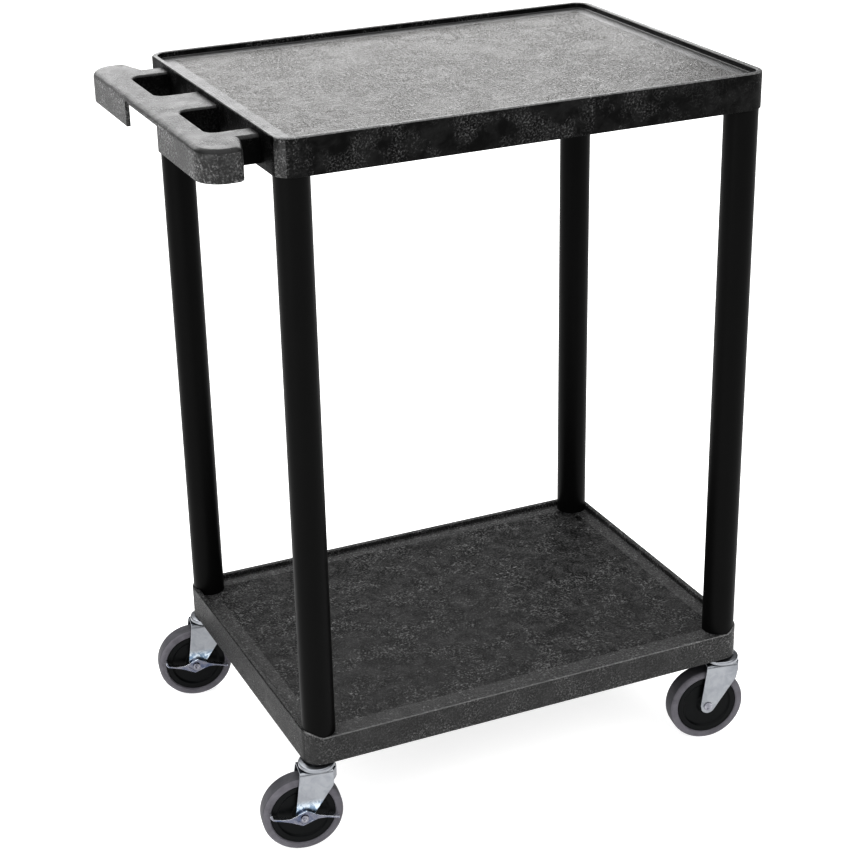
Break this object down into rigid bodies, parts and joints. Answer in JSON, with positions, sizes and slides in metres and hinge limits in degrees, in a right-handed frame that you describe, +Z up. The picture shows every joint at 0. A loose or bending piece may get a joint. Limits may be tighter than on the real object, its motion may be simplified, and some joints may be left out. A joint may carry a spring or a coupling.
{
  "type": "rolling utility cart",
  "caption": "Flat-shelf rolling utility cart: lipped top and bottom shelves on round legs, moulded push handle, swivel casters with foot brakes at the handle end.",
  "frame": {"origin": "on the floor under the middle of the whole cart's footprint, handle included", "axes": "+X from the handle towards the far end, +Y from the open front edge towards the back, +Z up"},
  "size_m": [0.7032, 0.4611, 0.9],
  "materials": {
    "deck_plastic": "moulded structural foam, pebbled and mottled, satin sheen",
    "leg_plastic": "smooth satin black moulded tube",
    "zinc": "bright zinc-plated pressed steel",
    "steel": "zinc-plated turned steel",
    "ball_steel": "polished bearing steel",
    "nylon": "natural nylon",
    "hub_plastic": "moulded polypropylene",
    "tyre_rubber": "grey non-marking thermoplastic rubber"
  },
  "bodies": {
    "cart": {"top_shelf": "deck_plastic", "bottom_shelf": "deck_plastic", "leg_handle_front": "leg_plastic", "leg_handle_rear": "leg_plastic", "leg_far_front": "leg_plastic", "leg_far_rear": "leg_plastic", "socket_handle_front": "nylon", "socket_handle_rear": "nylon", "socket_far_front": "nylon", "socket_far_rear": "nylon", "stem_handle_front": "steel", "stem_handle_rear": "steel", "stem_far_front": "steel", "stem_far_rear": "steel", "raceway_handle_front": "zinc", "raceway_handle_rear": "zinc", "raceway_far_front": "zinc", "raceway_far_rear": "zinc"},
    "caster_handle_front": {"fork_handle_front": "zinc", "balls_handle_front": "ball_steel", "axle_handle_front": "steel", "nut_handle_front": "steel", "bushing_handle_front": "steel", "brake_cam_handle_front": "zinc"},
    "wheel_handle_front": {"hub_handle_front": "hub_plastic", "tyre_handle_front": "tyre_rubber"},
    "brake_handle_front": {"brake_pedal_handle_front": "zinc"},
    "caster_handle_rear": {"fork_handle_rear": "zinc", "balls_handle_rear": "ball_steel", "axle_handle_rear": "steel", "nut_handle_rear": "steel", "bushing_handle_rear": "steel", "brake_cam_handle_rear": "zinc"},
    "wheel_handle_rear": {"hub_handle_rear": "hub_plastic", "tyre_handle_rear": "tyre_rubber"},
    "brake_handle_rear": {"brake_pedal_handle_rear": "zinc"},
    "caster_far_front": {"fork_far_front": "zinc", "balls_far_front": "ball_steel", "axle_far_front": "steel", "nut_far_front": "steel", "bushing_far_front": "steel"},
    "wheel_far_front": {"hub_far_front": "hub_plastic", "tyre_far_front": "tyre_rubber"},
    "caster_far_rear": {"fork_far_rear": "zinc", "balls_far_rear": "ball_steel", "axle_far_rear": "steel", "nut_far_rear": "steel", "bushing_far_rear": "steel"},
    "wheel_far_rear": {"hub_far_rear": "hub_plastic", "tyre_far_rear": "tyre_rubber"}
  },
  "joints": [
    {"name": "swivel_handle_front", "type": "hinge", "parent": "cart", "child": "caster_handle_front", "pos_m": [-0.253, -0.205, 0.112], "axis": [0, 0, 1], "continuous": true},
    {"name": "wheel_spin_handle_front", "type": "hinge", "parent": "caster_handle_front", "child": "wheel_handle_front", "pos_m": [-0.27417, -0.20127, 0.0508], "axis": [0.1736, 0.9848, 0], "continuous": true},
    {"name": "brake_press_handle_front", "type": "hinge", "parent": "caster_handle_front", "child": "brake_handle_front", "pos_m": [-0.27417, -0.20127, 0.0508], "axis": [0.1736, 0.9848, 0], "range_deg": [-28, 0]},
    {"name": "swivel_handle_rear", "type": "hinge", "parent": "cart", "child": "caster_handle_rear", "pos_m": [-0.253, 0.205, 0.112], "axis": [0, 0, 1], "continuous": true},
    {"name": "wheel_spin_handle_rear", "type": "hinge", "parent": "caster_handle_rear", "child": "wheel_handle_rear", "pos_m": [-0.27417, 0.20873, 0.0508], "axis": [0.1736, 0.9848, 0], "continuous": true},
    {"name": "brake_press_handle_rear", "type": "hinge", "parent": "caster_handle_rear", "child": "brake_handle_rear", "pos_m": [-0.27417, 0.20873, 0.0508], "axis": [0.1736, 0.9848, 0], "range_deg": [-28, 0]},
    {"name": "swivel_far_front", "type": "hinge", "parent": "cart", "child": "caster_far_front", "pos_m": [0.323, -0.205, 0.112], "axis": [0, 0, 1], "continuous": true},
    {"name": "wheel_spin_far_front", "type": "hinge", "parent": "caster_far_front", "child": "wheel_far_front", "pos_m": [0.30183, -0.20127, 0.0508], "axis": [0.1736, 0.9848, 0], "continuous": true},
    {"name": "swivel_far_rear", "type": "hinge", "parent": "cart", "child": "caster_far_rear", "pos_m": [0.323, 0.205, 0.112], "axis": [0, 0, 1], "continuous": true},
    {"name": "wheel_spin_far_rear", "type": "hinge", "parent": "caster_far_rear", "child": "wheel_far_rear", "pos_m": [0.30183, 0.20873, 0.0508], "axis": [0.1736, 0.9848, 0], "continuous": true}
  ]
}
